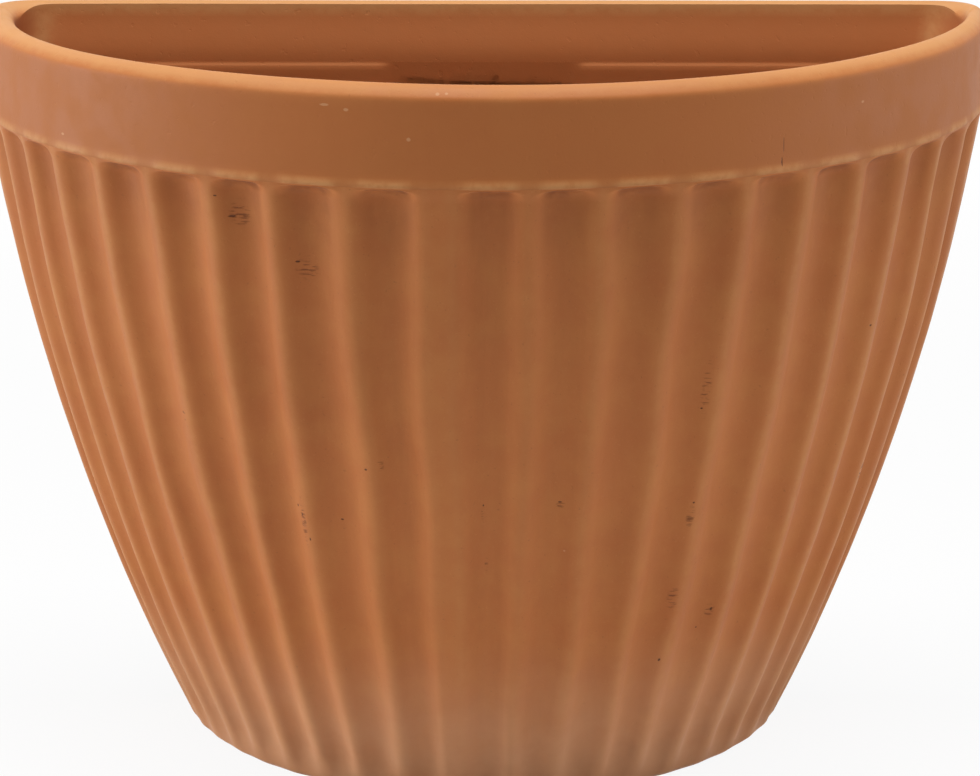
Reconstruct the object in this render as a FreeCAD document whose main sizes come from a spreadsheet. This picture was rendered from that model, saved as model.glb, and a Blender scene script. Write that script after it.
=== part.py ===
"""Half-round fluted wall pot in fired clay, in millimetres.

The origin is on the ground, under the middle of the pot's box. +Z is up, the flat back
faces +Y and the fluted half-round front faces -Y. Outlines are drawn about the pot's own
axis, which lies in the plane of the back, and each finished piece is then moved to the
origin by the same shift.
"""
import FreeCAD, Part
import math
import os
import Sketcher
from FreeCAD import Vector

SIZES = {
    # overall
    "pot_height": 219.5,
    "band_radius": 150.0,
    "foot_radius": 92.0,
    "side_bow": 7.6,             # how far the side bulges past a straight taper
    # plain band with its rounded lip
    "band_height": 27.5,
    "lip_thickness": 8.5,
    "lip_round": 4.1,
    "band_overhang": 0.8,        # the band stands this far out over the ridges
    "outer_corner": 8.0,         # rounding where the side turns into the back
    "inner_corner": 12.0,        # the same corner inside the pot
    # walls
    "wall_at_foot": 8.0,
    "back_thickness": 9.0,
    "floor_thickness": 10.0,
    "foot_bevel": 1.5,
    # flutes, with angles in degrees
    "flute_depth": 3.4,          # at the top of the side, and it shrinks with the radius
    "ridge_share": 0.31,         # share of a flute's pitch that its ridge takes
    "flutes_on_left": 10,
    "flutes_on_right": 10,
    "land_from": 5.8,            # the plain land left of the middle starts at this angle
    "land_to": 3.0,              # and ends at this one
    "plain_on_left": 0.5,        # left without flutes next to the back
    "plain_on_right": 6.8,
    "flute_end": 3.0,            # height of the sloped end of a flute under the band
    # inside of the back
    "ledge_drop": 17.7,          # the small ledge lies this far below the rim
    "ledge_step": 0.8,
    "tongue_width": 250.0,       # width of the back slab where it reaches into the band
    "recess_width": 57.0,        # the ledge stops on both sides of the hanging hole
    # holes
    "hanging_hole": 10.0,
    "hanging_drop": 38.0,        # below the rim
    "drain_hole": 14.0,
    "drain_from_back": 46.0,
}

# Sizes that follow from the others, in the form that a feature is bound to.
WALL_TOP = "(sizes.pot_height - sizes.band_height)"
RIDGE_RADIUS = "(sizes.band_radius - sizes.band_overhang)"
LIP_INSIDE = "(sizes.band_radius - sizes.lip_thickness)"
WALL_INSIDE = "(sizes.foot_radius - sizes.wall_at_foot)"
SLAB_FACE = "(sizes.back_thickness + sizes.ledge_step)"
CORNER_ROUND = "min(sizes.outer_corner; 0.9 * sizes.back_thickness)"
LIP_ROUND = "min(sizes.lip_round; 0.48 * sizes.lip_thickness)"
LEDGE_RISE = "(sizes.band_height - sizes.ledge_drop)"
NO_OFFSET = "0"

# How far a cutter reaches past what it cuts, and a box that is wider than the pot.
PAST = "20"
REACH = f"(sizes.band_radius + {PAST})"
FULL_WIDTH = f"(2 * {REACH})"

SIDE_STEPS = 4                   # straight runs that follow the bowed side, outside
INSIDE_STEPS = 4                 # and inside
FRONT_ARCS = 8                   # arcs that the smooth inside of the front is drawn with
CORNER_LEAD = 0.97               # share of the way to the corner that those arcs cover
CORNER_ARCS = 4                  # arcs of a rounded corner
FADED_DEPTH = 0.3                # what is left of a flute where it meets the band
TOUCH = 0.01                     # an edge this near a plane lies on it
UP = Vector(0, 0, 1)

doc = FreeCAD.newDocument("half_round_wall_pot")


# ------------------------------------------------------------------ sheet and helpers

def make_sheet():
    """One named cell for each driving size."""
    cells = doc.addObject("Spreadsheet::Sheet", "sizes")
    for row, (name, value) in enumerate(SIZES.items(), start=1):
        cells.set(f"A{row}", name)
        cells.set(f"B{row}", str(value))
        cells.setAlias(f"B{row}", name)
    doc.recompute()
    return cells


sheet = make_sheet()


def worth(expression):
    """Value of an expression over the sheet's cells."""
    return float(sheet.evalExpression(expression))


def bind(item, **expressions):
    for name, expression in expressions.items():
        item.setExpression(name, expression)


def name_piece(piece, name, lift=NO_OFFSET):
    """Label a finished piece and move it from the pot's axis to the origin."""
    piece.Label = name
    piece.setExpression(".Placement.Base.y", "sizes.band_radius / 2")
    piece.setExpression(".Placement.Base.z", lift)


def origin_plane(body, role):
    return [plane for plane in body.Origin.OriginFeatures if plane.Role == role][0]


def attach(item, body, role, x=NO_OFFSET, y=NO_OFFSET, z=NO_OFFSET):
    """Lay a sketch or primitive on one of the body's own planes, offset in its axes."""
    item.AttachmentSupport = (origin_plane(body, role), [""])
    item.MapMode = "FlatFace"
    for axis, offset in zip("xyz", (x, y, z)):
        item.setExpression(f".AttachmentOffset.Base.{axis}", offset)


def add_box(body, kind, name, corner, extent):
    """Additive or subtractive box from its lowest corner."""
    box = body.newObject(f"PartDesign::{kind}Box", name)
    attach(box, body, "XY_Plane", *corner)
    bind(box, Length=extent[0], Width=extent[1], Height=extent[2])
    doc.recompute()


def edges_at_height(feature, height):
    """Names of the feature's edges that lie flat at a height."""
    edges = enumerate(feature.Shape.Edges, start=1)
    return [f"Edge{number}" for number, edge in edges if lies_at(edge, height)]


def lies_at(edge, height):
    box = edge.BoundBox
    return abs(box.ZMin - height) < TOUCH and abs(box.ZMax - height) < TOUCH


def set_size(sketch, name, expression, kind, *where):
    """Dimension of a sketch, named and bound to the sheet."""
    value = worth(expression)
    number = sketch.addConstraint(Sketcher.Constraint(kind, *where, value))
    sketch.renameConstraint(number, name)
    sketch.setExpression(f"Constraints.{name}", expression)


# -------------------------------------------------------------------------- outlines

def bowed_radius(foot_radius, top_radius, height):
    """Radius at a height on an arc from foot to top that bulges by side_bow."""
    foot = Vector(worth(foot_radius), 0, 0)
    run = Vector(worth(top_radius), worth(WALL_TOP), 0) - foot
    bow = worth("sizes.side_bow")
    radius = (run.Length ** 2 / 4 + bow ** 2) / (2 * bow)
    inward = Vector(-run.y, run.x, 0).normalize()
    centre = foot + run / 2 + inward * (radius - bow)
    return centre.x + math.sqrt(radius ** 2 - (height - centre.y) ** 2)


def ridge_radius(height):
    return bowed_radius("sizes.foot_radius", RIDGE_RADIUS, height)


def inside_radius(height):
    return bowed_radius(WALL_INSIDE, LIP_INSIDE, height)


def side_heights():
    """Levels of the side: ground, bevel, even steps up to the ends of the flutes, band."""
    bevel = worth("sizes.foot_bevel")
    flutes_top = worth(f"{WALL_TOP} - sizes.flute_end")
    steps = [bevel + (flutes_top - bevel) * step / SIDE_STEPS for step in range(SIDE_STEPS + 1)]
    return [0] + steps + [worth(WALL_TOP)]


def sketch_half_round(sketch, prefix, radius_name, back_name, corner_name):
    """Closed half-round outline: two quarter fronts, two rounded corners and the back."""
    radius = worth(radius_name)
    back = worth(back_name)
    corner = worth(corner_name)
    across = math.sqrt((radius - corner) ** 2 - (back + corner) ** 2)
    lean = math.asin((back + corner) / (radius - corner))
    front = Part.Circle(Vector(), UP, radius)
    right_round = Part.Circle(Vector(across, -back - corner, 0), UP, corner)
    left_round = Part.Circle(Vector(-across, -back - corner, 0), UP, corner)
    front_left, front_right, right, line, left = sketch.addGeometry([
        Part.ArcOfCircle(front, math.pi + lean, 1.5 * math.pi),
        Part.ArcOfCircle(front, 1.5 * math.pi, 2 * math.pi - lean),
        Part.ArcOfCircle(right_round, -lean, math.pi / 2),
        Part.LineSegment(Vector(across, -back, 0), Vector(-across, -back, 0)),
        Part.ArcOfCircle(left_round, math.pi / 2, math.pi + lean),
    ])
    sketch.addConstraint([
        Sketcher.Constraint("Coincident", front_left, 2, front_right, 1),
        Sketcher.Constraint("Tangent", front_right, 2, right, 1),
        Sketcher.Constraint("Tangent", right, 2, line, 1),
        Sketcher.Constraint("Tangent", line, 2, left, 1),
        Sketcher.Constraint("Tangent", left, 2, front_left, 1),
        Sketcher.Constraint("Coincident", front_left, 3, -1, 1),
        Sketcher.Constraint("Coincident", front_right, 3, -1, 1),
        Sketcher.Constraint("PointOnObject", front_left, 2, -2),
        Sketcher.Constraint("Horizontal", line),
        Sketcher.Constraint("Equal", right, left),
    ])
    set_size(sketch, f"{prefix}_radius", radius_name, "Radius", front_left)
    set_size(sketch, f"{prefix}_corner", corner_name, "Radius", right)
    if back > 0:
        set_size(sketch, f"{prefix}_back", back_name, "DistanceY", line, 1, -1, 1)
    else:
        sketch.addConstraint(Sketcher.Constraint("PointOnObject", line, 1, -1))


def polar(radius, angle, height):
    """Point at an angle in degrees from the middle of the front, positive to the right."""
    turn = math.radians(angle)
    return Vector(radius * math.sin(turn), -radius * math.cos(turn), height)


def arc_edge(start, middle, end):
    return Part.Arc(start, middle, end).toShape()


def front_edge(first, last, radius, height):
    """Arc about the pot's axis between two angles."""
    middle = polar(radius, (first + last) / 2, height)
    return arc_edge(polar(radius, first, height), middle, polar(radius, last, height))


def corner_edges(centre, radius, first, last):
    """Arcs of a rounded corner between two turns in degrees, anticlockwise from +X."""
    step = (last - first) / CORNER_ARCS

    def at(turn):
        angle = math.radians(turn)
        return centre + Vector(radius * math.cos(angle), radius * math.sin(angle), 0)

    starts = [first + number * step for number in range(CORNER_ARCS)]
    return [arc_edge(at(start), at(start + step / 2), at(start + step)) for start in starts]


def rounded_back(radius, back, corner, height, past=0):
    """Right corner, back line and left corner, and the angle at which they meet the front."""
    lean = math.asin((back + corner) / (radius - corner))
    across = (radius - corner) * math.cos(lean)
    turn = math.degrees(lean)
    right_centre = Vector(across, -back - corner, height)
    left_centre = Vector(-across, -back - corner, height)
    rises = [corner, corner + past] if past else [corner]
    points = [right_centre + Vector(0, rise, 0) for rise in rises]
    points += [left_centre + Vector(0, rise, 0) for rise in reversed(rises)]
    edges = corner_edges(right_centre, corner, -turn, 90) + Part.makePolygon(points).Edges
    edges += corner_edges(left_centre, corner, 90, 180 + turn)
    return edges, 90 - turn


def ridge_half(radius, drop, top_angle, foot_angle, height):
    """Points from the top of a ridge down to where its flute begins."""
    halfway = polar(radius - drop / 4, (top_angle + foot_angle) / 2, height)
    return [polar(radius, top_angle, height), halfway, polar(radius - drop, foot_angle, height)]


def fluted_edges(first, last, count, radius, depth, height):
    """Arcs of a run of flutes between two angles, each ridge tangent to its flutes."""
    pitch = (last - first) / count
    share = worth("sizes.ridge_share")
    half_ridge = share * pitch / 2
    drop = share * depth
    edges = [arc_edge(*ridge_half(radius, drop, first, first + half_ridge, height))]
    for number in range(count):
        start = first + number * pitch
        end = start + pitch
        flute_start = polar(radius - drop, start + half_ridge, height)
        flute_end = polar(radius - drop, end - half_ridge, height)
        edges.append(arc_edge(flute_start, polar(radius - depth, start + pitch / 2, height), flute_end))
        if number < count - 1:
            next_start = polar(radius - drop, end + half_ridge, height)
            edges.append(arc_edge(flute_end, polar(radius, end, height), next_start))
    edges.append(arc_edge(*reversed(ridge_half(radius, drop, last, last - half_ridge, height))))
    return edges


def reach_of_front(radius):
    """Angle at which the front meets the inner face of the back slab."""
    return 90 - math.degrees(math.asin(worth(SLAB_FACE) / radius))


def wall_outline(height, radius, depth):
    """Outline of the fluted wall at one height, closed along the back slab."""
    reach = reach_of_front(radius)
    foot_reach = reach_of_front(worth("sizes.foot_radius - sizes.foot_bevel"))
    left_end = worth("sizes.plain_on_left") - foot_reach
    right_end = foot_reach - worth("sizes.plain_on_right")
    land_from = -worth("sizes.land_from")
    land_to = -worth("sizes.land_to")
    left_count = int(worth("sizes.flutes_on_left"))
    right_count = int(worth("sizes.flutes_on_right"))
    edges = [front_edge(-reach, left_end, radius, height)]
    edges += fluted_edges(left_end, land_from, left_count, radius, depth, height)
    edges.append(front_edge(land_from, land_to, radius, height))
    edges += fluted_edges(land_to, right_end, right_count, radius, depth, height)
    edges.append(front_edge(right_end, reach, radius, height))
    back = Part.LineSegment(polar(radius, reach, height), polar(radius, -reach, height))
    return Part.Wire(edges + [back.toShape()])


def inside_heights():
    return [worth(WALL_TOP) * step / INSIDE_STEPS for step in range(INSIDE_STEPS + 1)]


def cavity_corner_start(height):
    """Angle at which the inside turns from the front into its rounded back corner."""
    corner = worth("sizes.inner_corner")
    reach = (worth(SLAB_FACE) + corner) / (inside_radius(height) - corner)
    return 90 - math.degrees(math.asin(reach))


def cavity_outline(height):
    """Outline of the inside of the pot at one height, with its front arcs at fixed angles."""
    radius = inside_radius(height)
    fixed = CORNER_LEAD * cavity_corner_start(0)
    turn = 2 * fixed / FRONT_ARCS
    starts = [number * turn - fixed for number in range(FRONT_ARCS)]
    front = [front_edge(start, start + turn, radius, height) for start in starts]
    edges, meeting = rounded_back(radius, worth(SLAB_FACE), worth("sizes.inner_corner"), height)
    left = front_edge(-meeting, -fixed, radius, height)
    right = front_edge(fixed, meeting, radius, height)
    return Part.Wire([left] + front + [right] + edges)


def slab_outline(height, inset):
    """Outline of the back slab at one height, drawn in at its sides, past the back plane."""
    radius = ridge_radius(height) - inset
    edges, meeting = rounded_back(radius, 0, worth(CORNER_ROUND) - inset, height, worth(PAST))
    reach = reach_of_front(radius)
    right_side = front_edge(reach, meeting, radius, height)
    left_side = front_edge(-meeting, -reach, radius, height)
    face = Part.LineSegment(polar(radius, -reach, height), polar(radius, reach, height))
    return Part.Wire([right_side] + edges + [left_side, face.toShape()])


def lofted(name, outlines):
    """Solid through flat outlines, one above the other, with straight runs between."""
    sections = []
    for number, outline in enumerate(outlines):
        section = doc.addObject("Part::Feature", f"{name}_outline_{number}")
        section.Shape = outline
        sections.append(section)
    solid = doc.addObject("Part::Loft", name)
    solid.Sections = sections
    solid.Solid = True
    solid.Ruled = True
    doc.recompute()
    return solid


def insets():
    """How far each level of the side is drawn in: the bevel on the ground, then nothing."""
    heights = side_heights()
    return [worth("sizes.foot_bevel")] + [0] * (len(heights) - 1)


def flute_depths():
    """Depth of the flutes at each level, in step with the radius and faded at the band."""
    share = worth(f"sizes.flute_depth / {RIDGE_RADIUS}")
    return [share * ridge_radius(height) for height in side_heights()[:-1]] + [FADED_DEPTH]


# ---------------------------------------------------------------------------- pieces

def rim_band():
    """Plain band around the top, with a rounded lip and a notch for the back slab."""
    body = doc.addObject("PartDesign::Body", "rim_band")
    name_piece(body, "rim_band", lift=WALL_TOP)
    sketch = body.newObject("Sketcher::SketchObject", "band_outline")
    attach(sketch, body, "XY_Plane")
    sketch_half_round(sketch, "outer", "sizes.band_radius", NO_OFFSET, CORNER_ROUND)
    sketch_half_round(sketch, "inner", LIP_INSIDE, "sizes.back_thickness", "sizes.inner_corner")
    doc.recompute()
    band = body.newObject("PartDesign::Pad", "band")
    band.Profile = sketch
    bind(band, Length="sizes.band_height")
    doc.recompute()
    lip = body.newObject("PartDesign::Fillet", "lip")
    lip.Base = (band, edges_at_height(band, worth("sizes.band_height")))
    bind(lip, Radius=LIP_ROUND)
    doc.recompute()
    corner = ("-sizes.tongue_width / 2", "-sizes.back_thickness", f"-{PAST}")
    extent = ("sizes.tongue_width", f"sizes.back_thickness + {PAST}", f"{LEDGE_RISE} + {PAST}")
    add_box(body, "Subtractive", "tongue_notch", corner, extent)
    return body


def back_slab():
    """Flat back with its upper tongue, the recess inside it and the hanging hole."""
    outlines = [slab_outline(height, inset) for height, inset in zip(side_heights(), insets())]
    body = doc.addObject("PartDesign::Body", "back_slab")
    body.BaseFeature = lofted("slab_solid", outlines)
    name_piece(body, "back_slab")
    doc.recompute()
    behind_extent = (FULL_WIDTH, f"2 * {PAST}", "sizes.pot_height")
    add_box(body, "Subtractive", "flat_back", (f"-{REACH}", NO_OFFSET, NO_OFFSET), behind_extent)
    tongue_corner = ("-sizes.tongue_width / 2", f"-{SLAB_FACE}", WALL_TOP)
    tongue_extent = ("sizes.tongue_width", SLAB_FACE, LEDGE_RISE)
    add_box(body, "Additive", "tongue", tongue_corner, tongue_extent)
    recess_corner = ("-sizes.recess_width / 2", f"-{SLAB_FACE} - {PAST}", "sizes.floor_thickness")
    recess_extent = ("sizes.recess_width", f"sizes.ledge_step + {PAST}", "sizes.pot_height")
    add_box(body, "Subtractive", "recess", recess_corner, recess_extent)
    hole = body.newObject("PartDesign::SubtractiveCylinder", "hanging_hole")
    attach(hole, body, "XZ_Plane", y="sizes.pot_height - sizes.hanging_drop", z=f"-{PAST}")
    bind(hole, Radius="sizes.hanging_hole / 2", Height=f"{SLAB_FACE} + 2 * {PAST}")
    doc.recompute()
    return body


def fluted_wall(cavity):
    """Half-round front whose flutes and ridges narrow with it towards the foot."""
    outlines = []
    for height, inset, depth in zip(side_heights(), insets(), flute_depths()):
        outlines.append(wall_outline(height, ridge_radius(height) - inset, depth))
    wall = doc.addObject("Part::Cut", "fluted_wall")
    wall.Base = lofted("fluted_solid", outlines)
    wall.Tool = cavity
    name_piece(wall, "fluted_wall")
    doc.recompute()
    return wall


def base_slab(cavity):
    """Floor inside the foot of the wall, with the drain hole."""
    block = doc.addObject("Part::Box", "floor_block")
    bind(block, Length=FULL_WIDTH, Width=FULL_WIDTH, Height="sizes.floor_thickness")
    block.setExpression(".Placement.Base.x", f"-{REACH}")
    block.setExpression(".Placement.Base.y", f"-{REACH}")
    disc = doc.addObject("Part::Common", "floor_disc")
    disc.Base = cavity
    disc.Tool = block
    drain = doc.addObject("Part::Cylinder", "drain_hole")
    bind(drain, Radius="sizes.drain_hole / 2", Height=f"sizes.floor_thickness + 2 * {PAST}")
    drain.setExpression(".Placement.Base.y", "-sizes.drain_from_back")
    drain.setExpression(".Placement.Base.z", f"-{PAST}")
    floor = doc.addObject("Part::Cut", "base_slab")
    floor.Base = disc
    floor.Tool = drain
    name_piece(floor, "base_slab")
    doc.recompute()
    return floor


# ----------------------------------------------------------------------------- output

def check(pieces):
    """Stop if any object of the document failed or a piece isn't one sound solid."""
    for item in doc.Objects:
        if "Invalid" in item.State or "Error" in item.State:
            raise RuntimeError(f"{item.Label} failed: {item.State}")
    for piece in pieces:
        shape = piece.Shape
        if shape.isNull() or not shape.isValid() or len(shape.Solids) != 1:
            raise RuntimeError(f"{piece.Label} has no single valid solid")


def write(pieces):
    os.makedirs("parts", exist_ok=True)
    for piece in pieces:
        piece.Shape.exportStep(f"parts/{piece.Label}.step")
        print(f"{piece.Label}: {piece.Shape.Volume / 1000:.1f} cm3")


def main():
    cavity = lofted("pot_cavity", [cavity_outline(height) for height in inside_heights()])
    pieces = [rim_band(), fluted_wall(cavity), back_slab(), base_slab(cavity)]
    doc.recompute()
    check(pieces)
    write(pieces)


main()
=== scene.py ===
"""Visual model of a half-round fluted wall pot in kiln-baked terracotta, over the CAD frame."""
import math

import bpy
from mathutils import Matrix, Vector, noise


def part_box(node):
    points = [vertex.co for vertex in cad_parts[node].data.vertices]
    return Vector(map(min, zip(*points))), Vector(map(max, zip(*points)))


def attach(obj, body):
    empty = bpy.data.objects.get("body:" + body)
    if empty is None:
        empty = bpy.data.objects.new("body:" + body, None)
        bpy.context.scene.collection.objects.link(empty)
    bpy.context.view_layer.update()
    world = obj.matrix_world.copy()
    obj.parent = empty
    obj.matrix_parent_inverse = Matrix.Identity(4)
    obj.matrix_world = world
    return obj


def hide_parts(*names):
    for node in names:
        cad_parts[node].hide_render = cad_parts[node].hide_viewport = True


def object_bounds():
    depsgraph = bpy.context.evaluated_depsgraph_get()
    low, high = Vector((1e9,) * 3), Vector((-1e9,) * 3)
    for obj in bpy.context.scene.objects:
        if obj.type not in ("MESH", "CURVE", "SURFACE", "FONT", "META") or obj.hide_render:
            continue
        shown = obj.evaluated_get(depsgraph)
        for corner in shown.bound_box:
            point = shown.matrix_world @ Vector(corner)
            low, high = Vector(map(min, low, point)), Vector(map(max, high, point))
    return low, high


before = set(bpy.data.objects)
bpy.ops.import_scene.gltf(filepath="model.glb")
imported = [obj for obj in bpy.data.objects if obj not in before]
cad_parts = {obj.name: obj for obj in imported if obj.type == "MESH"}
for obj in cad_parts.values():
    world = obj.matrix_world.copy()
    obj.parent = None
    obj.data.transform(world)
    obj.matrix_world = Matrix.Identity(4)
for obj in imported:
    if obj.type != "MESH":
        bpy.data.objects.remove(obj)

CAD_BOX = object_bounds()

# Sizes in metres. The pot's axis stands in its flat back plane.
POT_HEIGHT = CAD_BOX[1][2]
BAND_RADIUS = CAD_BOX[1][1] - CAD_BOX[0][1]
BACK_Y = CAD_BOX[1][1]
WALL_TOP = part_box("fluted_wall")[1][2]
SLAB_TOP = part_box("back_slab")[1][2]
BAND_OVERHANG = 0.0008
RIDGE_RADIUS = BAND_RADIUS - BAND_OVERHANG
FOOT_RADIUS = 0.092
SIDE_BOW = 0.0076            # how far the side's arc stands out from its chord
LIP_THICKNESS = 0.0085
LIP_INSIDE = BAND_RADIUS - LIP_THICKNESS
WALL_AT_FOOT = 0.008
FOOT_INSIDE = FOOT_RADIUS - WALL_AT_FOOT
BAND_BACK = 0.009            # thickness of the back within the band
SLAB_FACE = 0.0098           # thickness of the back slab
LEDGE_STEP = SLAB_FACE - BAND_BACK
OUTER_CORNER = 0.008
INNER_CORNER = 0.012
TONGUE_HALF = 0.125          # half the width of the slab's upper end, inside the band
TONGUE_INSET = 0.0004        # how deep that end's back lies in the band's clay
RECESS_HALF = 0.0285
HANGING_DROP = 0.038
HANGING_HEIGHT = POT_HEIGHT - HANGING_DROP
HANGING_RADIUS = 0.005
DRAIN_FROM_BACK = 0.046
DRAIN_HOLE = (0.0, BACK_Y - DRAIN_FROM_BACK, 0.0)

# Crests of the ridges, in degrees from the middle of the front, positive to the right.
LEFT_RIDGES = (-83.3, -75.5, -67.9, -60.3, -52.8, -45.1, -37.1, -29.4, -22.0, -13.5, -5.8)
RIGHT_RIDGES = (-3.0, 5.0, 12.9, 20.8, 28.5, 36.6, 44.6, 52.7, 60.7, 69.1, 77.0)
FLUTE_DEPTH = 0.0041
RIDGE_HALF = 0.20            # half a ridge, as a share of its flute's pitch
FLUTE_COLUMNS = 26
CREST_WIDTH = 0.0013         # half width of the worn line along a ridge
COVE_HEIGHT = 0.0030         # a flute ends under the band in a cove this high

LIP_CREST = 0.55             # share of the lip's thickness from outside to its highest line
LIP_FALL = 0.0031            # from that line down to the outer edge
LIP_EDGE = POT_HEIGHT - LIP_FALL
WIDE_FALL = 0.0045           # from that line down to the inner face at the front
TIGHT_FALL = 0.0007          # the same along the back
BEAD = 0.0004                # raised line along the band's low edge
BEAD_LEVELS = (0.0, 0.0001, 0.0003, 0.0005, 0.0007, 0.0009, 0.0012, 0.0016, 0.0021, 0.0028, 0.004, 0.006)

# Unevenness of hand-finished clay, in metres, and what keeps it inside the plain solids.
BAND_SWAY = 0.00035
FRONT_SAG = 0.00045
BACK_SAG = 0.00012
SIDE_SWELL = 0.00022
SIDE_RIPPLE = 0.00007
CORNER_SHIFT = 0.0022        # how far the rim's inner corners sit to the right
BACK_LEAN = 0.0028           # how far the back's inner face leans out at the rim
DRAWN_IN = 0.0002            # how far the uneven faces are drawn in
SETTLING = 0.02              # height under the band over which the side becomes even
OFF_BACK_PLANE = 0.00005     # how far the pieces stay off the back plane
OFF_GROUND = 0.00005         # how far the floor lies under the foot

SHARP_ANGLE = 55             # edges over this angle, in degrees, are shaded sharp
SLAB_SHARP_ANGLE = 32
HOLE_SIDES = 64
CUTTER_REACH = 0.03          # the hole's cutter reaches this far before and behind the back plane

# Marks in the clay, as (angle, height, half width, half height), in degrees and millimetres.
PITS = (
    (-27.3, 180.6, 1.0, 0.35), (-28.6, 186.5, 0.5, 0.3), (-19.9, 169.4, 0.6, 0.4), (-13.7, 109.7, 0.45, 0.4),
    (-23.5, 96.0, 0.35, 0.5), (-22.9, 93.5, 0.3, 0.5), (-22.2, 86.0, 0.3, 0.6), (-18.0, 92.3, 0.55, 0.3),
    (0.4, 98.8, 0.25, 0.4), (27.4, 44.5, 0.5, 0.6), (35.0, 58.5, 0.4, 0.6), (33.6, 52.5, 0.3, 0.3),
    (27.6, 96.0, 0.35, 0.35), (26.8, 125.0, 0.35, 0.35), (32.7, 195.0, 0.22, 1.6), (32.9, 199.5, 0.12, 3.0),
    (10.0, 99.5, 0.6, 0.25), (-46.0, 70.0, 0.4, 0.5), (52.0, 140.0, 0.4, 0.4),
)
GRAZES = (
    (-26.4, 181.5, 2.4, 4.2), (-18.9, 167.5, 2.8, 3.6), (-22.8, 91.5, 1.0, 7.5), (-12.0, 111.0, 1.0, 1.8),
    (27.0, 131.0, 1.1, 8.5), (27.5, 91.5, 1.2, 3.8), (27.4, 65.0, 1.8, 3.8), (34.8, 58.0, 1.4, 2.4),
    (0.4, 97.0, 0.8, 2.8), (0.8, 80.0, 0.7, 2.2), (10.1, 98.5, 1.4, 1.0), (-38.0, 119.0, 0.9, 2.0),
    (-68.0, 205.0, 2.0, 3.0), (61.0, 90.0, 1.0, 4.0),
)
CHIPS = (
    (-15.8, 213.7, 1.2, 0.4), (-13.5, 212.6, 0.6, 0.5), (-7.1, 205.3, 0.5, 0.6), (-4.2, 217.3, 0.5, 0.4),
    (-3.3, 217.4, 0.4, 0.3), (10.9, 84.2, 0.3, 0.3), (44.0, 208.0, 0.5, 0.4), (-50.5, 196.5, 0.6, 0.4),
)
MARK_RADIUS = 0.125          # the marks are laid out on a cylinder of this radius
MILLIMETRES = 1000           # in a metre

# Colours of the clay, and of its painted shade and painted highlights.
CLAY = (0.53, 0.172, 0.046, 1)
BURNT = (0.43, 0.128, 0.032, 1)
PALE = (0.66, 0.310, 0.105, 1)
GRIT = (0.2, 0.07, 0.03, 1)
# painted shade: darker tone for the band's outer face
SHADED_BAND_FACE = (0.44, 0.142, 0.038, 1)
INNER_FACE = (0.50, 0.162, 0.049, 1)
DUST = (0.74, 0.400, 0.215, 1)
# pale tone for edge wear and for painted highlights on crests, bead, lip, ledge and inner corners
WEAR_AND_HIGHLIGHT_TONE = (0.68, 0.350, 0.135, 1)
# dark tone for painted shade, with some grime, in the flutes' coves
COVE_SHADE_AND_GRIME_TONE = (0.15, 0.038, 0.010, 1)
SCORED_LINE = (0.18, 0.050, 0.012, 1)
PIT_SHADE = (0.09, 0.025, 0.008, 1)
CHIP_FACE = (0.66, 0.35, 0.17, 1)

# Studio, in metres and watts.
FLOOR_HALF = 6.0
FLOOR_PALE = (0.90, 0.90, 0.90, 1)
SHADED_FLOOR = 0.30          # up to here from its middle the floor shows the pot's shadow
PLAIN_FLOOR = 1.0            # from here on it is plain white
WHITE_AT_POT = 0.92          # share of plain white where the shadow shows
POT_MIDDLE = (0.0, 0.0, 0.11)
WORLD_STRENGTH = 0.07
CAMERA_PLACE = (0.00764, -1.00272, 0.38615)
CAMERA_FORWARD = (-0.00502, 0.96620, -0.25776)
CAMERA_UP = (-0.00134, 0.25775, 0.96621)
SENSOR_WIDTH = 36.0          # in millimetres, as is the focal length
FOCAL_LENGTH = 132.94


# ---------------------------------------------------------------------------- helpers

def smooth(low, high, value):
    """0 below low, 1 above high and an even ease between them."""
    share = min(max((value - low) / (high - low), 0.0), 1.0)
    return share * share * (3 - 2 * share)


def at_least(least, share):
    """A share from 0 to 1, squeezed so that it starts at the least."""
    return least + (1 - least) * share


def bowed(foot, top, height):
    """Radius at a height on an arc from the foot to the top of the side."""
    run = Vector((top - foot, WALL_TOP))
    radius = (run.length_squared / 4 + SIDE_BOW ** 2) / (2 * SIDE_BOW)
    inward = Vector((-run.y, run.x)).normalized()
    centre = Vector((foot, 0)) + run / 2 + inward * (radius - SIDE_BOW)
    return centre.x + math.sqrt(radius ** 2 - (height - centre.y) ** 2)


def swell(point, size, seed):
    """Slow unevenness of hand-finished clay, from -1 to 1."""
    return noise.noise(Vector(point) / size + Vector((seed, seed, seed)))


def on_pot(x, y, height):
    """Point of the pot's own frame, with its axis at x = y = 0, in the row frame."""
    return (x, y + BACK_Y, height)


def runs(*spans):
    """Values along several spans, each (start, end, steps), and the last end."""
    values = []
    for start, end, steps in spans:
        values += [start + (end - start) * step / steps for step in range(steps)]
    return values + [spans[-1][1]]


class Skin:
    """Points of a piece in order, and for each how far the clay there has each trait, from 0 to 1; some
    traits are painted shade and painted highlight.
    """

    def __init__(self):
        self.points = []
        self.traits = {"worn": [], "hollow": [], "inside": [], "dusty": [], "band_face_shade": []}

    def add(self, point, **shares):
        self.points.append(point)
        for trait, values in self.traits.items():
            values.append(shares.get(trait, 0.0))


def make_piece(name, skin, faces, *nodes):
    """Smooth-shaded mesh that stands for CAD nodes, with the skin's traits for the material."""
    mesh = bpy.data.meshes.new(name)
    mesh.from_pydata(skin.points, [], faces)
    mesh.shade_smooth()
    mesh.set_sharp_from_angle(angle=math.radians(SHARP_ANGLE))
    for trait, values in skin.traits.items():
        mesh.attributes.new(trait, "FLOAT", "POINT").data.foreach_set("value", values)
    piece = bpy.data.objects.new(name, mesh)
    bpy.context.scene.collection.objects.link(piece)
    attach(piece, "root")
    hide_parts(*nodes)
    return piece


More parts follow.
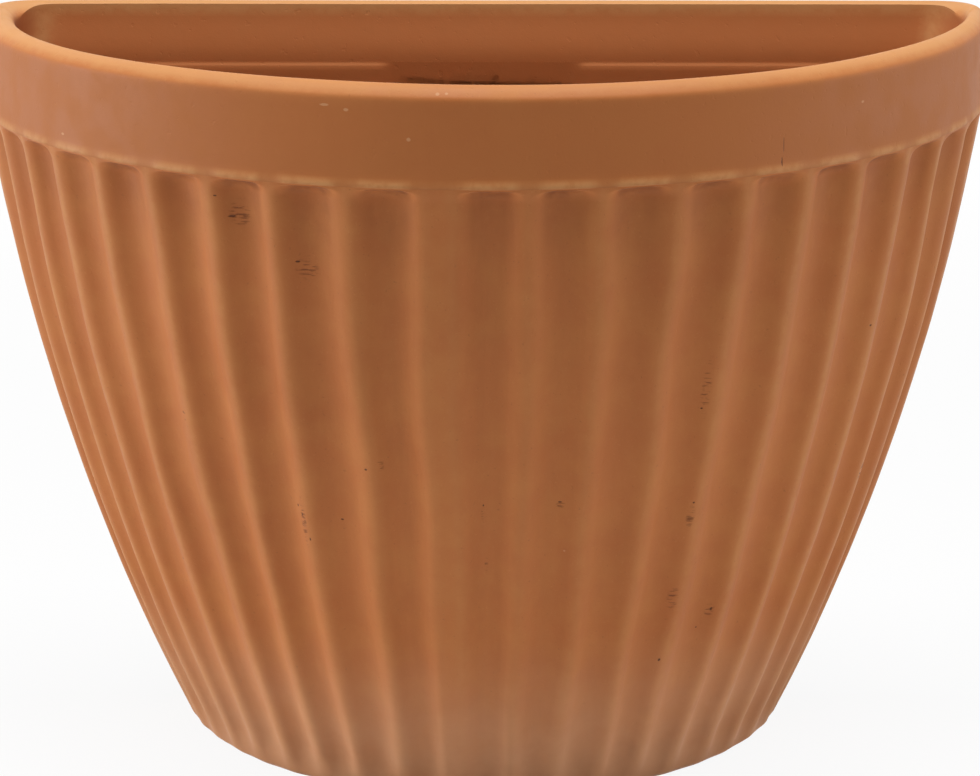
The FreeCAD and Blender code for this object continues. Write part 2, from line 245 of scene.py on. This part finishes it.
def grid_faces(rows, columns, close_rows, close_columns):
    """Quads over a grid of points that is stored row after row."""
    faces = []
    for row in range(rows if close_rows else rows - 1):
        after = (row + 1) % rows
        for column in range(columns if close_columns else columns - 1):
            beside = (column + 1) % columns
            corners = ((row, column), (row, beside), (after, beside), (after, column))
            faces.append([r * columns + c for r, c in corners])
    return faces


# --------------------------------------------------------------------------- rim band

def half_round(radius, back, corner, part, share):
    """Point of a half-round outline: part 0 is the front, 1 a corner, 2 the back, 3 a corner."""
    lean = math.asin((back + corner) / (radius - corner))
    across = (radius - corner) * math.cos(lean)
    depth = -back - corner
    if part == 0:
        turn = (2 * share - 1) * (math.pi / 2 - lean)
        return Vector((radius * math.sin(turn), -radius * math.cos(turn)))
    if part == 2:
        return Vector((across * (1 - 2 * share), -back))
    turn = -lean + share * (math.pi / 2 + lean)
    if part == 1:
        return Vector((across + corner * math.cos(turn), depth + corner * math.sin(turn)))
    turn = math.pi / 2 + share * (math.pi / 2 + lean)
    return Vector((-across + corner * math.cos(turn), depth + corner * math.sin(turn)))


def inner_fall(part, share):
    """How far the lip curves down to its inner face, tight along the back."""
    if part == 0:
        return WIDE_FALL
    if part == 1:
        return WIDE_FALL + (TIGHT_FALL - WIDE_FALL) * smooth(0.0, 0.7, share)
    if part == 2:
        return TIGHT_FALL
    return TIGHT_FALL + (WIDE_FALL - TIGHT_FALL) * smooth(0.3, 1.0, share)


def band_section(fall):
    """Outline of the band, as (share of its thickness from outside, height) pairs."""
    low = WALL_TOP
    plain_start = low + 0.009
    plain_end = LIP_EDGE - 0.0016
    outside = [(0.25, low), (0.08, low), (0.025, low)]
    outside += [(0.0, low + rise) for rise in BEAD_LEVELS]
    outside += [(0.0, height) for height in runs((plain_start, plain_end, 8))]
    arris = [(0.0, 0.0009), (0.004, 0.00045), (0.016, 0.0)]
    top = [(across, LIP_EDGE - under) for across, under in arris]
    for share in runs((0.07, 1, 14)):
        top.append((LIP_CREST * share, POT_HEIGHT - LIP_FALL * (1 - share) ** 1.9))
    for turn in runs((0.0, math.pi / 2, 14))[1:]:
        across = 1 - (1 - LIP_CREST) * (1 - math.sin(turn)) ** (fall / WIDE_FALL)
        top.append((across, POT_HEIGHT - fall * (1 - math.cos(turn))))
    inside = [(1.0, height) for height in runs((POT_HEIGHT - fall - 0.001, low, 9))]
    under = [(0.7, low), (0.4, low)]
    return outside + top + inside + under


def bead_profile(rise):
    """Raised line along the band's low edge, from 0 to 1 at a height over it."""
    return smooth(-0.0002, 0.0004, rise) * (1 - smooth(0.0008, 0.0029, rise))


def over_flute(angle):
    """How far an angle is over the open top of a flute, from 0 on a ridge to 1."""
    for ridges in (LEFT_RIDGES, RIGHT_RIDGES):
        for start, end in zip(ridges, ridges[1:]):
            if start <= angle <= end:
                off = abs((angle - start) / (end - start) - 0.5)
                return 1 - smooth(0.28, 0.42, off)
    return 0.0


def hand_ease(inner, height):
    """How the rim's inside leaves its plain outline: the back leans out, the corners sit to the right."""
    near_back = -0.012
    shift = CORNER_SHIFT * smooth(-0.080, near_back, inner.y)
    lean = BACK_LEAN * smooth(-0.030, near_back, inner.y)
    return Vector((shift, lean)) * smooth(SLAB_TOP, POT_HEIGHT, height)


def band_point(part, outer, inner, across, height, raised):
    """Point of the band between its outer and inner outline, in the row frame."""
    lifted = smooth(WALL_TOP + 0.004, POT_HEIGHT, height)
    plan = outer.lerp(inner + hand_ease(inner, height), across)
    if across == 0.0:
        plan += plan.normalized() * raised * bead_profile(height - WALL_TOP)
    at = (plan.x, plan.y, height)
    sway = BAND_SWAY * swell(at, 0.05, 3) * lifted
    sag = FRONT_SAG if part == 0 else BACK_SAG
    height += sag * (swell(at, 0.06, 7) - 0.6) * lifted
    plan = plan * (1 + (sway - DRAWN_IN * lifted) / BAND_RADIUS)
    return on_pot(plan.x, min(plan.y, -OFF_BACK_PLANE), height)


def painted_corner_highlight(part, share):
    """Painted highlight: a paler upright strip in each inner corner."""
    from_back = {1: 1 - share, 3: share}.get(part, 2.0)
    strip_middle, strip_width = 0.25, 0.16
    return 0.75 * math.exp(-((from_back - strip_middle) / strip_width) ** 2)


def edge_wear_and_highlight(across, height, angle, raised):
    """Wear and painted highlight of the band's low edge over the flutes, and of the top of its lip, where a
    painted sheen grows towards the sides.
    """
    if across == 0.0 and height < LIP_EDGE:
        return 0.8 * bead_profile(height - WALL_TOP) * raised / BEAD
    on_top = smooth(LIP_EDGE - 0.0006, POT_HEIGHT - 0.001, height)
    return on_top * at_least(0.35, abs(math.sin(math.radians(angle))))


def band_traits(part, share, across, height, angle, raised):
    """How far the band at a point holds wear and painted highlight, faces inside, and bears the painted
    shade of its outer face.
    """
    facing_in = smooth(0.8, 1.0, across)
    facing_out = 1 - smooth(0.0, 0.3, across)
    corner_highlight = painted_corner_highlight(part, share) * facing_in * smooth(WALL_TOP, WALL_TOP + 0.008, height)
    under_lip = 1 - smooth(POT_HEIGHT - 0.005, POT_HEIGHT - 0.001, height)
    on_side = facing_out * (1 - smooth(POT_HEIGHT - 0.006, POT_HEIGHT - 0.002, height))
    return {
        # wear and painted highlight on the bead and lip top, painted highlight in the inner corners
        "worn": max(edge_wear_and_highlight(across, height, angle, raised), corner_highlight),
        "inside": facing_in * under_lip,
        # painted shade on the band's outer face, fading out towards the back
        "band_face_shade": on_side * (1 - smooth(70, 88, abs(angle))),
    }


def build_band():
    """Plain band with its rounded, slightly uneven lip."""
    steps_of_parts = (360, 16, 90, 16)
    stations = [
        (part, share)
        for part, steps in enumerate(steps_of_parts)
        for share in runs((0, 1, steps))[:-1]
    ]
    skin = Skin()
    for part, share in stations:
        section = band_section(inner_fall(part, share))
        outer = half_round(BAND_RADIUS - BEAD, OFF_BACK_PLANE, OUTER_CORNER, part, share)
        inner = half_round(LIP_INSIDE, BAND_BACK, INNER_CORNER, part, share)
        angle = math.degrees(math.atan2(outer.x, -outer.y)) if part == 0 else 90.0
        raised = BEAD * at_least(0.35, over_flute(angle)) if part == 0 else 0.0
        for across, height in section:
            point = band_point(part, outer, inner, across, height, raised)
            skin.add(point, **band_traits(part, share, across, point[2], angle, raised))
    faces = grid_faces(len(stations), len(section), True, True)
    return make_piece("rim_band_clay", skin, faces, "rim_band")


# ------------------------------------------------------------------------ fluted wall

def flute_profile(off):
    """Depth of a flute, from 0 to 1, at an offset from its middle in shares of its pitch."""
    flute_half = 0.5 - RIDGE_HALF
    shoulder = 2 * RIDGE_HALF
    if off < flute_half:
        return 1 - (1 - shoulder) * (off / flute_half) ** 2
    return shoulder * ((0.5 - off) / RIDGE_HALF) ** 2


def flute_columns():
    """(angle, how deep in a flute from 0 to 1, place across it from -1 to 1) around the wall."""
    narrow, wide = 8, 24     # steps across the plain stretches
    reach = 90 - math.degrees(math.asin(SLAB_FACE / RIDGE_RADIUS))
    columns = [(angle, 0.0, 1.0) for angle in runs((-reach, LEFT_RIDGES[0], narrow))[:-1]]
    for ridges in (LEFT_RIDGES, RIGHT_RIDGES):
        for number, (start, end) in enumerate(zip(ridges, ridges[1:])):
            deep = 1 + 0.07 * math.sin(5.1 * number + start)
            for step in range(FLUTE_COLUMNS):
                place = 2 * step / FLUTE_COLUMNS - 1
                angle = start + (end - start) * step / FLUTE_COLUMNS
                columns.append((angle, deep * flute_profile(abs(place) / 2), place))
        if ridges is LEFT_RIDGES:
            columns += [(angle, 0.0, 1.0) for angle in runs((ridges[-1], RIGHT_RIDGES[0], narrow))[:-1]]
    columns += [(angle, 0.0, 1.0) for angle in runs((RIGHT_RIDGES[-1], reach, wide))]
    return columns


def flute_end(place):
    """Height at which a flute ends, with rounded corners."""
    gap, corner_drop = 0.0004, 0.0030
    return WALL_TOP - gap - corner_drop * abs(place) ** 4


def side_radius(height):
    """Radius of the plain side at a height, eased at the foot and flared to meet the band."""
    flare_height = 0.0042
    foot_round, foot_round_height = 0.0010, 0.0014
    flare = (BAND_RADIUS - BEAD - RIDGE_RADIUS) * smooth(WALL_TOP - flare_height, WALL_TOP, height)
    rounded = foot_round * (1 - smooth(0.0, foot_round_height, height))
    level = smooth(0, SETTLING, WALL_TOP - height)
    return bowed(FOOT_RADIUS, RIDGE_RADIUS, height) + flare - rounded - DRAWN_IN * level


def outer_radius(angle, deep, place, height, settled):
    """Radius of the fluted side at an angle and height."""
    ridge = bowed(FOOT_RADIUS, RIDGE_RADIUS, height)
    cove = min(max(flute_end(place) - height, 0.0) / COVE_HEIGHT, 1.0)
    open_share = math.sqrt(1 - (1 - cove) ** 2)
    at_foot = at_least(0.12, smooth(0.0, 0.013, height))
    depth = FLUTE_DEPTH * ridge / RIDGE_RADIUS * deep * open_share * at_foot
    turn = math.radians(angle)
    at = (ridge * math.sin(turn), ridge * math.cos(turn), height)
    uneven = SIDE_SWELL * swell(at, 0.05, 1) + SIDE_RIPPLE * swell(at, 0.012, 2)
    return side_radius(height) - depth + uneven * settled * smooth(0, SETTLING, WALL_TOP - height)


def fitted_angle(angle, reach, radius):
    """Angle at which a column stands, with the plain ends drawn in to the face of the back slab."""
    last = -LEFT_RIDGES[0] if angle < 0 else RIGHT_RIDGES[-1]
    if abs(angle) <= last:
        return angle
    limit = 90 - math.degrees(math.asin(SLAB_FACE / radius))
    share = (abs(angle) - last) / (reach - last)
    return math.copysign(last + share * (limit - last), angle)


def ridge_drift(angle, height):
    """How far a ridge wanders sideways on its way up, in degrees."""
    slowly = (math.radians(angle) * 0.12, 0.0, height * 0.55)
    return 0.55 * swell(slowly, 0.022, 11)


def inner_point(reach_share, height):
    """Point of the inside at a share of the way round, from -1 to 1."""
    radius = bowed(FOOT_INSIDE, LIP_INSIDE, height)
    side = math.copysign(1, reach_share)
    share = abs(reach_share)
    round_share = 0.9
    lean = math.asin((SLAB_FACE + INNER_CORNER) / (radius - INNER_CORNER))
    if share <= round_share:
        turn = share / round_share * (math.pi / 2 - lean)
        return side * radius * math.sin(turn), -radius * math.cos(turn)
    turn = -lean + (share - round_share) / (1 - round_share) * (math.pi / 2 + lean)
    across = (radius - INNER_CORNER) * math.cos(lean) + INNER_CORNER * math.cos(turn)
    return side * across, -SLAB_FACE - INNER_CORNER + INNER_CORNER * math.sin(turn)


def crest_wear_and_highlight(angle, radius):
    """Wear and painted highlight along a ridge's crest at an angle, the painted highlight stronger towards
    the sides.
    """
    nearest = min(abs(angle - ridge) for ridge in LEFT_RIDGES + RIGHT_RIDGES)
    away = math.radians(nearest) * radius / CREST_WIDTH
    return math.exp(-away * away) * (0.10 + 0.60 * math.sin(math.radians(angle)) ** 2)


def under_band(angle, deep, place, height):
    """How much painted shade, with some grime, lies in the cove at the top of a flute, most on its side to
    the middle.
    """
    below = flute_end(place) - height
    to_middle = -place if angle > 0 else place
    depth = smooth(0.15, 0.75, deep) * (0.72 + 0.28 * to_middle)
    # painted shade: a dark line just under the band and a faint tail down the flute
    dark_line = 1 - smooth(0.0008, 0.0044, below)
    faint_tail = 0.30 * (1 - smooth(0.003, 0.024, below))
    return depth * smooth(-0.0003, 0.0004, below) * max(dark_line, faint_tail)


def foot_dust(height):
    """Pale dust on the outside, thickest at the foot."""
    return 1 - smooth(0.0, 0.060, height)


def build_wall():
    """Half-round side with its flutes, each closed by a small rounded cove under the band."""
    foot_end, flutes_end = 0.0018, 0.180
    cove_start, cove_end = WALL_TOP - 0.0075, WALL_TOP - 0.0015
    up = runs((0, foot_end, 6), (foot_end, flutes_end, 100), (flutes_end, cove_start, 4))[:-1]
    up += runs((cove_start, cove_end, 24), (cove_end, WALL_TOP, 12))
    down = runs((WALL_TOP, 0, 40))
    columns = flute_columns()
    reach = columns[-1][0]
    skin = Skin()
    for angle, deep, place in columns:
        settled = smooth(0, 4, reach - abs(angle))
        for height in up:
            radius = outer_radius(angle, deep, place, height, settled)
            turn = math.radians(fitted_angle(angle, reach, radius) + ridge_drift(angle, height) * settled)
            y = min(-radius * math.cos(turn), -SLAB_FACE)
            # the crests take wear and a painted highlight, the coves painted shade with some grime
            skin.add(
                on_pot(radius * math.sin(turn), y, height),
                worn=crest_wear_and_highlight(angle, radius),
                hollow=under_band(angle, deep, place, height),
                dusty=foot_dust(height),
            )
        for height in down:
            x, y = inner_point(angle / reach, height)
            skin.add(on_pot(x, y, height), inside=1.0)
    around = len(up) + len(down)
    faces = grid_faces(len(columns), around, False, True)
    faces.append(list(range(around)))
    faces.append(list(reversed(range(len(skin.points) - around, len(skin.points)))))
    return make_piece("fluted_wall_clay", skin, faces, "fluted_wall")


# -------------------------------------------------------------------------- back slab

def on_ledge(x, below):
    """How far the slab's face stands out at x, this far below its upper end, from 0 to 1."""
    recess = RECESS_HALF + 0.0006 * math.exp(-below / 0.004)
    beside = smooth(recess - 0.0008, recess + 0.0012, abs(x))
    ends = 1 - smooth(0.098, 0.110, abs(x)) * (1 - smooth(0.003, 0.012, below))
    return beside * ends * smooth(0.0, 0.0016, below) * at_least(0.55, smooth(0.004, 0.020, below))


def slab_side(height):
    """Right side of the back slab at a height, from its inner face to its flat back."""
    if height > WALL_TOP:
        return [(TONGUE_HALF, -SLAB_FACE * share) for share in runs((1, 0.02, 20))]
    radius = side_radius(height)
    lean = math.asin(OUTER_CORNER / (radius - OUTER_CORNER))
    across = (radius - OUTER_CORNER) * math.cos(lean)
    reach = math.asin(SLAB_FACE / radius)
    flat = [(radius * math.cos(turn), -radius * math.sin(turn)) for turn in runs((reach, lean, 4))]
    corner = [
        (across + OUTER_CORNER * math.cos(turn), -OUTER_CORNER + OUTER_CORNER * math.sin(turn))
        for turn in runs((-lean, math.pi / 2, 16))[1:]
    ]
    return flat + corner


def slab_section(height):
    """Outline of the back slab at a height: inner face, right side, flat back, left side."""
    behind = -TONGUE_INSET if height > WALL_TOP else -OFF_BACK_PLANE
    side = slab_side(height)
    half = side[0][0]
    face = []
    for x in runs((-half, half, 150)):
        face.append((x, -SLAB_FACE + LEDGE_STEP * (1 - on_ledge(x, SLAB_TOP - height))))
    back = [(side[-1][0] * share, behind) for share in runs((1, -1, 40))[1:-1]]
    right = [(x, min(y, behind)) for x, y in side[1:]]
    left = [(-x, y) for x, y in reversed(right)]
    return face + right + back + left


def build_slab():
    """Flat back with the small ledge near its top, the recess and the hanging hole."""
    foot_end, side_end = 0.0016, WALL_TOP - 0.002
    tongue_start, edge_start = WALL_TOP + 0.0001, SLAB_TOP - 0.0012
    heights = runs((0, foot_end, 5), (foot_end, side_end, 70), (side_end, WALL_TOP, 2))
    heights += runs((tongue_start, edge_start, 6), (edge_start, SLAB_TOP, 8))
    inner_face = -BAND_BACK * 0.9     # points before this belong to it
    under_edge, edge_width = 0.002, 0.0012
    skin = Skin()
    for height in heights:
        near_edge = math.exp(-((SLAB_TOP - height) / edge_width) ** 2)
        section = slab_section(height)
        for x, y in section:
            if y < inner_face:
                # painted highlight along the ledge's upper edge
                skin.add(on_pot(x, y, height), worn=0.10 * near_edge * on_ledge(x, under_edge), inside=1.0)
            else:
                skin.add(on_pot(x, y, height), dusty=foot_dust(height))
    around = len(section)
    faces = grid_faces(len(heights), around, False, True)
    faces.append(list(reversed(range(around))))
    faces.append(list(range(len(skin.points) - around, len(skin.points))))
    slab = make_piece("back_slab_clay", skin, faces, "back_slab")
    drill(slab, Vector(on_pot(0, 0, HANGING_HEIGHT)), HANGING_RADIUS)
    slab.data.set_sharp_from_angle(angle=math.radians(SLAB_SHARP_ANGLE))
    return slab


def drill(piece, centre, radius):
    """Cut a round hole through a piece along Y."""
    vertices = []
    for along in (-CUTTER_REACH, CUTTER_REACH):
        for step in range(HOLE_SIDES):
            turn = 2 * math.pi * step / HOLE_SIDES
            vertices.append(centre + Vector((radius * math.cos(turn), along, radius * math.sin(turn))))
    faces = grid_faces(2, HOLE_SIDES, False, True)
    faces += [list(range(HOLE_SIDES)), list(reversed(range(HOLE_SIDES, 2 * HOLE_SIDES)))]
    mesh = bpy.data.meshes.new("cutter")
    mesh.from_pydata(vertices, [], faces)
    cutter = bpy.data.objects.new("cutter", mesh)
    bpy.context.scene.collection.objects.link(cutter)
    cut = piece.modifiers.new("hole", "BOOLEAN")
    cut.operation = "DIFFERENCE"
    cut.solver = "EXACT"
    cut.object = cutter
    solid = bpy.data.meshes.new_from_object(piece.evaluated_get(bpy.context.evaluated_depsgraph_get()))
    piece.modifiers.clear()
    old = piece.data
    piece.data = solid
    bpy.data.meshes.remove(old)
    solid.name = piece.name
    bpy.data.objects.remove(cutter)
    bpy.data.meshes.remove(mesh)


# --------------------------------------------------------------------------- material

class Nodes:
    """Short calls for the nodes of one material or world."""

    def __init__(self, owner):
        owner.use_nodes = True
        self.tree = owner.node_tree
        self.tree.nodes.clear()

    def add(self, kind, **settings):
        node = self.tree.nodes.new(f"ShaderNode{kind}")
        for name, value in settings.items():
            setattr(node, name, value)
        return node

    def feed(self, value, socket):
        """Link a socket to another, or set its value."""
        if isinstance(value, bpy.types.NodeSocket):
            self.tree.links.new(value, socket)
        else:
            socket.default_value = value

    def maths(self, operation, first, second):
        node = self.add("Math", operation=operation)
        self.feed(first, node.inputs[0])
        self.feed(second, node.inputs[1])
        return node.outputs[0]

    def vector(self, operation, first, second=(0, 0, 0)):
        node = self.add("VectorMath", operation=operation)
        self.feed(first, node.inputs[0])
        self.feed(second, node.inputs[1])
        return node.outputs["Value" if operation == "LENGTH" else "Vector"]

    def spread(self, value, low, high, to_low=0.0, to_high=1.0):
        """Value eased from to_low to to_high as it goes from low to high."""
        node = self.add("MapRange", interpolation_type="SMOOTHSTEP")
        for socket, item in zip(node.inputs, (value, low, high, to_low, to_high)):
            self.feed(item, socket)
        return node.outputs["Result"]

    def noise(self, at, scale, detail, rough=0.55):
        node = self.add("TexNoise")
        self.feed(at, node.inputs["Vector"])
        node.inputs["Scale"].default_value = scale
        node.inputs["Detail"].default_value = detail
        node.inputs["Roughness"].default_value = rough
        return node.outputs["Fac"]

    def trait(self, name):
        """Share of a trait that the skin of a piece holds."""
        return self.add("Attribute", attribute_name=name).outputs["Fac"]

    def tint(self, colour, over, share, amount):
        """Colour with another over it, as far as the share times the amount."""
        node = self.add("Mix", data_type="RGBA", blend_type="MIX")
        self.feed(self.maths("MULTIPLY", share, amount), node.inputs["Factor"])
        self.feed(colour, node.inputs[6])
        self.feed(over, node.inputs[7])
        return node.outputs[2]


def plain_clay(n, at, mottle):
    """Colour of the clay itself, with broad zones, mottling, faint upright streaks and specks."""
    upright = n.vector("MULTIPLY", at, (1.0, 1.0, 0.05))
    broad = n.spread(n.noise(at, 14, 3), 0.35, 0.7)
    streak = n.spread(n.noise(upright, 160, 4), 0.38, 0.75)
    speck = n.spread(n.noise(at, 1400, 2, 0.7), 0.60, 0.74)
    dark_speck = n.spread(n.noise(at, 900, 2, 0.6), 0.66, 0.78)
    colour = n.tint(CLAY, BURNT, broad, 0.45)
    colour = n.tint(colour, PALE, mottle, 0.22)
    colour = n.tint(colour, BURNT, streak, 0.16)
    colour = n.tint(colour, PALE, speck, 0.16)
    return n.tint(colour, GRIT, dark_speck, 0.25)


def used_clay(n, at, colour):
    """Clay with its dust and wear, and with painted light: a darker band face as painted shade, edges with
    painted highlights, and coves with painted shade and grime.
    """
    # painted shade on the band's outer face
    colour = n.tint(colour, SHADED_BAND_FACE, n.trait("band_face_shade"), 0.75)
    colour = n.tint(colour, INNER_FACE, n.trait("inside"), 0.85)
    dust_patches = n.spread(n.noise(at, 60, 4), 0.3, 0.7, 0.62, 0.85)
    colour = n.tint(colour, DUST, n.trait("dusty"), dust_patches)
    place = n.add("SeparateXYZ")
    n.feed(at, place.inputs[0])
    on_lip = n.spread(place.outputs["Z"], LIP_EDGE - 0.001, POT_HEIGHT - 0.001)
    ragged = n.spread(n.noise(at, 240, 3, 0.6), 0.35, 0.6, 0.55, 1.0)
    # paler where edges have wear and where highlights are painted
    worn = n.maths("MULTIPLY", n.trait("worn"), n.maths("MAXIMUM", ragged, on_lip))
    colour = n.tint(colour, WEAR_AND_HIGHLIGHT_TONE, worn, 0.70)
    # painted shade, with some grime, in the coves under the band
    cove_darkening_patches = n.spread(n.noise(at, 130, 3, 0.6), 0.30, 0.62, 0.45, 1.0)
    cove_darkening = n.maths("MULTIPLY", n.trait("hollow"), cove_darkening_patches)
    return n.tint(colour, COVE_SHADE_AND_GRIME_TONE, cove_darkening, 0.90)


def wrapped(n, at):
    """Place on a cylinder about the pot's axis, so that a mark keeps its shape on a flute."""
    plan = n.vector("MULTIPLY", n.vector("SUBTRACT", at, (0, BACK_Y, 0)), (1, 1, 0))
    outward = n.vector("NORMALIZE", plan)
    level = n.vector("MULTIPLY", at, (0, 0, 1))
    return n.vector("ADD", n.vector("MULTIPLY", outward, (MARK_RADIUS, MARK_RADIUS, 0)), level)


def nearest_mark(n, around, marks):
    """Distance to the nearest of the marks, 1 at its edge."""
    nearest = 9.0
    for angle, height, wide, tall in marks:
        turn = math.radians(angle)
        centre = (MARK_RADIUS * math.sin(turn), -MARK_RADIUS * math.cos(turn), height / MILLIMETRES)
        offset = n.vector("SUBTRACT", around, centre)
        scaled = n.vector("MULTIPLY", offset, (MILLIMETRES / wide, MILLIMETRES / wide, MILLIMETRES / tall))
        nearest = n.maths("MINIMUM", n.vector("LENGTH", scaled), nearest)
    return nearest


def clay_marks(n, at):
    """Shares of scored, pitted and chipped clay, on the outside alone, with crumbled edges."""
    around = wrapped(n, at)
    crumble = n.maths("MULTIPLY", n.noise(at, 900, 3, 0.7), 0.9)
    outside = n.maths("SUBTRACT", 1.0, n.trait("inside"))
    shares = []
    for marks, edge, core in ((GRAZES, 1.6, 0.8), (PITS, 1.45, 0.95), (CHIPS, 1.5, 1.1)):
        distance = n.maths("ADD", nearest_mark(n, around, marks), crumble)
        shares.append(n.maths("MULTIPLY", n.spread(distance, edge, core), outside))
    graze, pit, chip = shares
    across_grain = n.vector("MULTIPLY", at, (1.0, 1.0, 6.0))
    combed = n.spread(n.noise(across_grain, 260, 3, 0.6), 0.50, 0.60)
    return n.maths("MULTIPLY", graze, combed), pit, chip


def clay_relief(n, at, scored, pit):
    """Normal of the fine relief: grain, low lumps and pores, sunk where the clay is marked."""
    grain = n.maths("MULTIPLY", n.noise(at, 1900, 3, 0.65), 0.25)
    lumps = n.maths("MULTIPLY", n.noise(at, 240, 4, 0.6), 0.55)
    pores = n.maths("MULTIPLY", n.spread(n.noise(at, 520, 2, 0.5), 0.26, 0.34), 0.35)
    height = n.maths("ADD", n.maths("ADD", grain, lumps), pores)
    height = n.maths("SUBTRACT", height, n.maths("MULTIPLY", scored, 0.8))
    height = n.maths("SUBTRACT", height, n.maths("MULTIPLY", pit, 1.6))
    bump = n.add("Bump")
    bump.inputs["Strength"].default_value = 0.35
    bump.inputs["Distance"].default_value = 0.0003
    n.feed(height, bump.inputs["Height"])
    return bump.outputs["Normal"]


def terracotta():
    """Unglazed kiln-baked clay, matt, with a faint dusty sheen."""
    material = bpy.data.materials.new("terracotta_clay")
    n = Nodes(material)
    at = n.add("TexCoord").outputs["Object"]
    mottle = n.spread(n.noise(at, 90, 5), 0.3, 0.75)
    colour = used_clay(n, at, plain_clay(n, at, mottle))
    scored, pit, chip = clay_marks(n, at)
    colour = n.tint(colour, SCORED_LINE, scored, 0.75)
    colour = n.tint(colour, PIT_SHADE, pit, 0.9)
    colour = n.tint(colour, CHIP_FACE, chip, 0.6)
    shader = n.add("BsdfPrincipled")
    n.feed(colour, shader.inputs["Base Color"])
    n.feed(clay_relief(n, at, scored, pit), shader.inputs["Normal"])
    n.feed(n.spread(mottle, 0, 1, 0.54, 0.66), shader.inputs["Roughness"])
    shader.inputs["Specular IOR Level"].default_value = 0.22
    shader.inputs["Sheen Weight"].default_value = 0.06
    shader.inputs["Sheen Roughness"].default_value = 0.5
    shader.inputs["Sheen Tint"].default_value = (1.0, 0.88, 0.78, 1)
    n.feed(shader.outputs["BSDF"], n.add("OutputMaterial").inputs["Surface"])
    return material


# ------------------------------------------------------------------- floor and lights

def background_rays(n):
    """1 for the rays that see the studio's white background: camera, glossy and transmission."""
    path = n.add("LightPath")
    seen = n.maths("MAXIMUM", path.outputs["Is Camera Ray"], path.outputs["Is Glossy Ray"])
    return n.maths("MAXIMUM", seen, path.outputs["Is Transmission Ray"])


def build_floor():
    """Large pale floor, white to the camera but for the pot's soft shadow and under its drain hole."""
    half = FLOOR_HALF
    corners = [(x, y, -OFF_GROUND) for x, y in ((-half, -half), (half, -half), (half, half), (-half, half))]
    mesh = bpy.data.meshes.new("floor")
    mesh.from_pydata(corners, [], [(0, 1, 2, 3)])
    floor = bpy.data.objects.new("floor", mesh)
    bpy.context.scene.collection.objects.link(floor)
    material = bpy.data.materials.new("white_floor")
    n = Nodes(material)
    diffuse = n.add("BsdfDiffuse")
    diffuse.inputs["Color"].default_value = FLOOR_PALE
    white = n.add("Emission")
    at = n.add("TexCoord").outputs["Object"]
    from_pot = n.vector("LENGTH", at)
    from_drain = n.vector("LENGTH", n.vector("SUBTRACT", at, DRAIN_HOLE))
    open_floor = n.spread(from_pot, SHADED_FLOOR, PLAIN_FLOOR, WHITE_AT_POT, 1.0)
    clear_of_drain = n.spread(from_drain, 0.010, 0.025)
    whiteness = n.maths("MULTIPLY", open_floor, clear_of_drain)
    mixed = n.add("MixShader")
    n.feed(n.maths("MULTIPLY", background_rays(n), whiteness), mixed.inputs[0])
    n.feed(diffuse.outputs[0], mixed.inputs[1])
    n.feed(white.outputs[0], mixed.inputs[2])
    n.feed(mixed.outputs[0], n.add("OutputMaterial").inputs["Surface"])
    mesh.materials.append(material)


def area_lamp(name, place, width, height, power):
    """Rectangular soft box that points at the middle of the pot."""
    lamp = bpy.data.lights.new(name, "AREA")
    lamp.shape = "RECTANGLE"
    lamp.size = width
    lamp.size_y = height
    lamp.energy = power
    holder = bpy.data.objects.new(name, lamp)
    bpy.context.scene.collection.objects.link(holder)
    holder.location = place
    holder.rotation_euler = (Vector(POT_MIDDLE) - Vector(place)).to_track_quat("-Z", "Y").to_euler()


def build_lights():
    """Two large soft boxes at the sides, a soft one above and an even pale world."""
    area_lamp("left_softbox", place=(-1.30, 0.00, 0.20), width=0.8, height=0.36, power=8.2)
    area_lamp("right_softbox", place=(1.30, 0.00, 0.20), width=0.8, height=0.36, power=3.9)
    area_lamp("top_softbox", place=(0.0, -0.18, 1.35), width=1.0, height=0.6, power=18)
    world = bpy.data.worlds.new("studio")
    bpy.context.scene.world = world
    n = Nodes(world)
    background = n.add("Background")
    background.inputs["Color"].default_value = (1, 1, 1, 1)
    n.feed(n.spread(background_rays(n), 0, 1, WORLD_STRENGTH, 1.0), background.inputs["Strength"])
    n.feed(background.outputs[0], n.add("OutputWorld").inputs["Surface"])


def build_camera():
    """Camera in front of the pot, a little above it."""
    data = bpy.data.cameras.new("camera")
    data.sensor_width = SENSOR_WIDTH
    data.lens = FOCAL_LENGTH
    data.clip_end = 50.0
    camera = bpy.data.objects.new("camera", data)
    bpy.context.scene.collection.objects.link(camera)
    forward = Vector(CAMERA_FORWARD).normalized()
    up = Vector(CAMERA_UP).normalized()
    right = forward.cross(up).normalized()
    turned = Matrix((right, right.cross(forward), -forward)).transposed()
    camera.matrix_world = Matrix.Translation(CAMERA_PLACE) @ turned.to_4x4()
    bpy.context.scene.camera = camera


def main():
    """Dress the pot and stand it in the studio."""
    build_camera()
    clay = terracotta()
    for piece in (build_band(), build_wall(), build_slab()):
        piece.data.materials.append(clay)
    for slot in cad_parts["base_slab"].material_slots:
        slot.material = clay
    build_floor()
    build_lights()
    bpy.context.scene.view_settings.view_transform = "Standard"


main()
